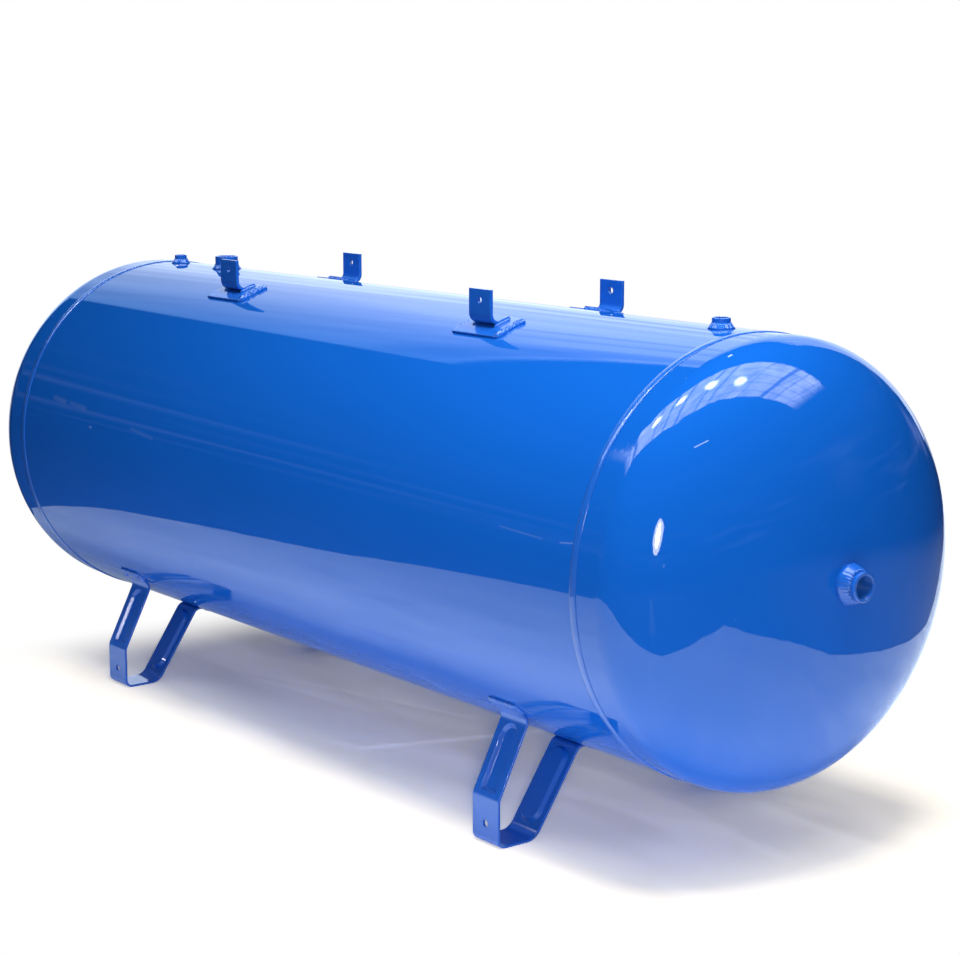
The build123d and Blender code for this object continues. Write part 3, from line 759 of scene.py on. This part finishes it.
def shellPath(start, end, lift=0.0):
    # a straight run in the unrolled plate, from one (x, turn) to another
    runX, runTurn = end[0] - start[0], end[1] - start[1]
    arc = radians(runTurn) * tank["radius"]

    def path(s):
        turn = start[1] + runTurn * s
        up = outwards(turn)
        along = Vector((1, 0, 0)) * runX + Vector((1, 0, 0)).cross(up) * -arc
        return onShell(start[0] + runX * s, turn, lift), up, up.cross(along).normalized()
    return path, sqrt(runX ** 2 + arc ** 2)


for end, seam in (("near", tank["seam"]), ("far", -tank["seam"])):
    bead = bmesh.new()
    path, length = shellPath((seam, 0), (seam, 360))
    layBead(bead, path, length, True, beadSettings["girth"])
    piece = addPiece(end + "_girth_bead", bead, "painted_weld", weldEnamel)
    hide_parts(end + "_girth_weld")

# The long seam's bead lies low on the back and ends 4 mm before the girth seams
longSeam = {"turn": -118, "end": tank["seam"] - 0.004}
bead = bmesh.new()
path, length = shellPath((-longSeam["end"], longSeam["turn"]), (longSeam["end"], longSeam["turn"]))
layBead(bead, path, length, False, beadSettings["seam"])
piece = addPiece("shell_seam_bead", bead, "painted_weld", weldEnamel)
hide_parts("shell_seam_weld")
print("girth and seam beads done")

# Beads of the lugs: a heavy and a thin run at the pad's ends, three light ones round the strap
lugSettings = {
    "padLength": 0.081, "padWidth": 0.048, "padTurn": 21.2, "padThickness": 0.003,
    "strapWidth": 0.0405, "strapFace": 0.1034, "strapBase": 0.031, "strapBend": 0.006,
}
padAft = lugSettings["padTurn"] - turnOf(lugSettings["padWidth"]) / 2
padFore = lugSettings["padTurn"] + turnOf(lugSettings["padWidth"]) / 2
lift = lugSettings["padThickness"]
strapFore = turnAt(lugSettings["strapFace"], lift)
strapBent = strapFore - turnOf(lugSettings["strapBend"])
strapAft = strapFore - turnOf(lugSettings["strapBase"])
for lug, front in (("near_front_lug", 1), ("near_back_lug", -1),
                   ("far_front_lug", 1), ("far_back_lug", -1)):
    bead = bmesh.new()
    low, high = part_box(lug)
    middle = (low.x + high.x) / 2
    for hand, size in ((1, "pad"), (-1, "padThin")):
        x = middle + hand * lugSettings["padLength"] / 2
        ends = ((x, front * padFore), (x, front * padAft))
        path, length = shellPath(*(ends if hand * front < 0 else ends[::-1]))
        layBead(bead, path, length, False, beadSettings[size])
    right = middle + lugSettings["strapWidth"] / 2
    left = middle - lugSettings["strapWidth"] / 2
    for start, end in (((right, strapBent), (right, strapAft)),
                       ((left, strapBent), (left, strapAft)),
                       ((left, strapAft), (right, strapAft))):
        path, length = shellPath((start[0], front * start[1]), (end[0], front * end[1]), lift)
        layBead(bead, path, length, False, beadSettings["strap"])
    piece = addPiece(lug + "_beads", bead, "painted_weld", weldEnamel)
    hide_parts(lug + "_pad_weld")
print("lug beads done")

# Beads of the legs: round the three free edges of both flanges
legSettings = {
    "outerTip": 134.78, "innerTip": 165.99, "outerSeat": 0.016, "innerSeat": 0.012,
    "overhang": 0.003,
}
outerRoot = legSettings["outerTip"] + turnOf(legSettings["outerSeat"])
innerRoot = legSettings["innerTip"] - turnOf(legSettings["innerSeat"])
for leg, front in (("near_front_leg", 1), ("near_back_leg", -1),
                   ("far_front_leg", 1), ("far_back_leg", -1)):
    bead = bmesh.new()
    low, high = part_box(leg)
    left, right, past = low.x, high.x, legSettings["overhang"]
    for tip, root in ((legSettings["outerTip"], outerRoot), (legSettings["innerTip"], innerRoot)):
        for run in (((left, front * tip), (left, front * root)),
                    ((left - past, front * tip), (right + past, front * tip)),
                    ((right, front * tip), (right, front * root))):
            path, length = shellPath(*run)
            layBead(bead, path, length, False, beadSettings["leg"])
    piece = addPiece(leg + "_beads", bead, "painted_weld", weldEnamel)
    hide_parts(leg + "_outer_weld", leg + "_inner_weld")
print("leg beads done")


# Sockets: turned steel with a tapped bore, and a fillet bead where each meets its plate
socketSettings = {
    "near_top_socket": {"bore": 0.01495, "pitch": 0.001337, "facing": (0, 0, 1)},
    "outlet_socket": {"bore": 0.02412, "pitch": 0.001814, "facing": (0, 0, 1)},
    "far_top_socket": {"bore": 0.01145, "pitch": 0.001337, "facing": (0, 0, 1)},
    "drain_socket": {"bore": 0.01145, "pitch": 0.001337, "facing": (0, 0, -1)},
    "near_head_socket": {"bore": 0.02412, "pitch": 0.001814, "facing": (1, 0, 0)},
    "far_head_socket": {"bore": 0.02412, "pitch": 0.001814, "facing": (-1, 0, 0)},
}
turningSettings = {
    "chamfer": 0.0008,
    "threadDepth": 0.64,  # of the pitch
    "rowsPerPitch": 6,
    "stepsRound": 90,
    "sharpEdge": 32,
    "filletInside": 0.3,  # how far a fillet bead goes into the socket's wall, of its width
}


def ringPath(centre, facing, outer):
    # where the socket's outside meets the shell or a head
    def shellRing(s):
        away = Vector((cos(2 * pi * s), sin(2 * pi * s), 0))
        y = outer * away.y
        rise = sqrt(tank["radius"] ** 2 - y ** 2)
        point = Vector((centre.x + outer * away.x, y, tank["axis"] + rise * facing.z))
        return point, Vector((0, y, rise * facing.z)).normalized(), away

    def headRing(s):
        away = Vector((0, cos(2 * pi * s), sin(2 * pi * s)))
        root = tank["seam"] + tank["flange"]
        x = root + (tank["pole"] - root) * sqrt(1 - (outer / tank["radius"]) ** 2)
        point = Vector((facing.x * x, outer * away.y, tank["axis"] + outer * away.z))
        return point, facing.copy(), away
    return headRing if facing.x else shellRing


for name, spec in socketSettings.items():
    low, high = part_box(name)
    facing = Vector(spec["facing"])
    centre = (low + high) / 2
    outer = (high.y - low.y) / 2
    half = abs((high - low).dot(facing)) / 2
    inner = spec["bore"] / 2
    groove = turningSettings["threadDepth"] * spec["pitch"]
    chamfer = turningSettings["chamfer"]
    bm = bmesh.new()
    rows = int((2 * half - groove) / spec["pitch"] * turningSettings["rowsPerPitch"])
    outline = [(outer, -half), (outer, half - chamfer), (outer - chamfer, half),
               (inner + groove, half)]
    outline += [(inner, half - groove - (2 * half - groove) * i / rows) for i in range(rows + 1)]
    ring = [bm.verts.new((r, 0, z)) for r, z in outline]
    edges = [bm.edges.new((ring[i], ring[(i + 1) % len(ring)])) for i in range(len(ring))]
    bmesh.ops.spin(bm, geom=ring + edges, cent=(0, 0, 0), axis=(0, 0, 1), angle=2 * pi,
                   steps=turningSettings["stepsRound"], use_merge=True)
    bmesh.ops.remove_doubles(bm, verts=bm.verts, dist=0.000001)
    for vert in bm.verts:  # the thread's groove winds outwards from the bore
        reach = vert.co.xy.length
        if reach < inner + groove * 0.5 and abs(vert.co.z) < half - groove * 1.01:
            phase = vert.co.z / spec["pitch"] - atan2(vert.co.y, vert.co.x) / (2 * pi)
            cut = 1 - abs(2 * (phase % 1) - 1)
            vert.co.xy *= (inner + groove * cut) / reach
    bmesh.ops.recalc_face_normals(bm, faces=bm.faces)
    for face in bm.faces:
        inBore = face.calc_center_median().xy.length < inner + groove
        face.material_index = 1 if inBore else 0
    for edge in bm.edges:
        edge.smooth = edge.calc_face_angle(0) < radians(turningSettings["sharpEdge"])
    turn = Vector((0, 0, 1)).rotation_difference(facing).to_matrix().to_4x4()
    bmesh.ops.transform(bm, matrix=turn, verts=bm.verts)
    bmesh.ops.translate(bm, verts=bm.verts, vec=centre)
    piece = addPiece(name + "_turned", bm, "painted_socket", stripEnamel, threadSteel)
    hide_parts(name)

    bead = bmesh.new()
    size = beadSettings["headSocket" if facing.x else "socket"]  # tall fillets on the heads
    layBead(bead, ringPath(centre, facing, outer), 2 * pi * outer, True, size,
            turningSettings["filletInside"], True)
    piece = addPiece(name + "_bead", bead, "painted_weld", weldEnamel)
    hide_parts(name + "_weld")
print("sockets done")

scene.view_settings.view_transform = "Standard"
